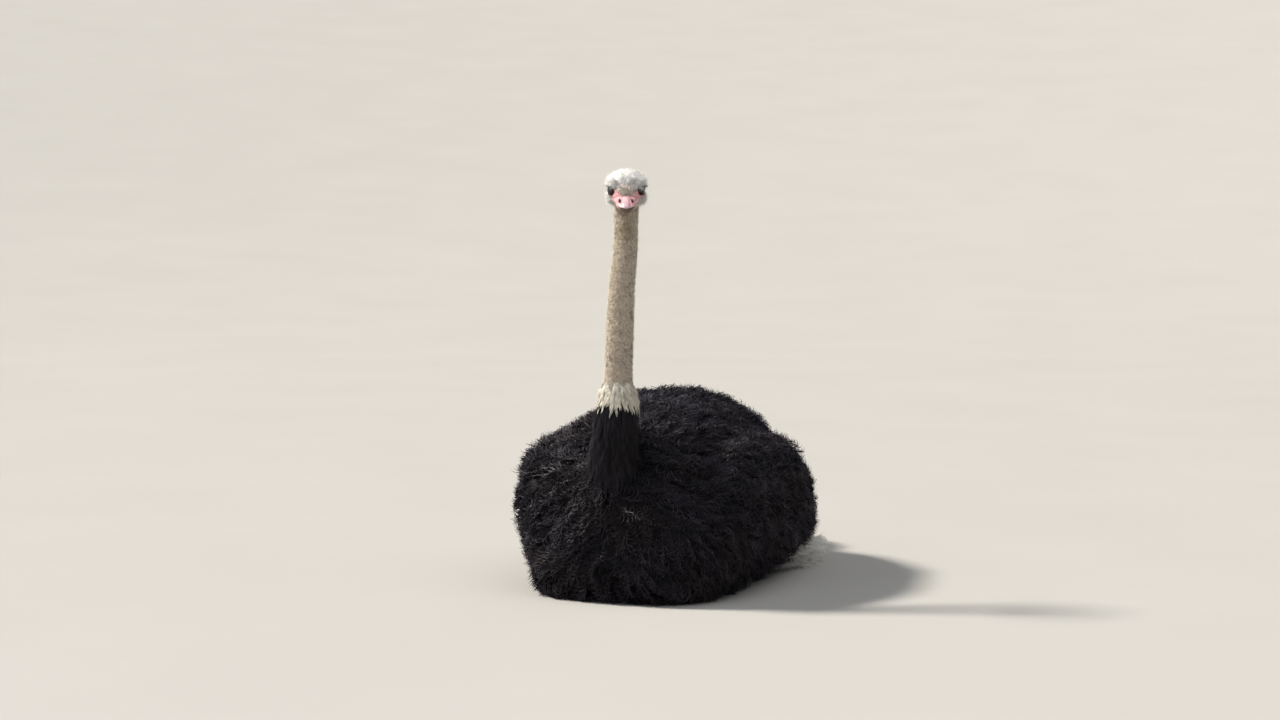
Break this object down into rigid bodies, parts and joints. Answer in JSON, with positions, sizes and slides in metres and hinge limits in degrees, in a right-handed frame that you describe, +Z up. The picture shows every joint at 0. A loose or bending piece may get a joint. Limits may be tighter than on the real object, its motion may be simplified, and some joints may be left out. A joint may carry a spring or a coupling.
{
  "type": "resting ostrich",
  "caption": "Life-size male common ostrich sitting on its folded legs with its neck raised and its head turned slightly left, a still display model.",
  "frame": {"origin": "middle of the bird's box, on the floor it rests on", "axes": "+Z up, the bird faces -Y and its left side is +X"},
  "size_m": [0.7688, 1.4946, 1.1822],
  "materials": {
    "black_plumage": "soft curled feathers, matte black",
    "white_plumage": "soft white feathers",
    "tail_plumage": "soft plumes stained by sand",
    "neck_down": "short woolly down over pale skin",
    "head_down": "short fluffy down",
    "bill_horn": "smooth pink horn with a pale tip",
    "eye_gloss": "wet, dark brown",
    "bare_skin": "bare scaly skin",
    "claw_horn": "worn dark horn"
  },
  "bodies": {
    "root": {"trunk": "black_plumage", "wing_left": "black_plumage", "wing_right": "black_plumage", "primaries_left": "white_plumage", "primaries_right": "white_plumage", "tail": "tail_plumage", "neck_base": "black_plumage", "collar": "white_plumage", "neck_lower": "neck_down", "neck_middle": "neck_down", "neck_upper": "neck_down", "head": "head_down", "bill_upper": "bill_horn", "bill_lower": "bill_horn", "eye_left": "eye_gloss", "eye_right": "eye_gloss", "shank_left": "bare_skin", "shank_right": "bare_skin", "tarsus_left": "bare_skin", "tarsus_right": "bare_skin", "toe_inner_left": "bare_skin", "toe_inner_right": "bare_skin", "toe_outer_left": "bare_skin", "toe_outer_right": "bare_skin", "claw_left": "claw_horn", "claw_right": "claw_horn"}
  },
  "joints": []
}
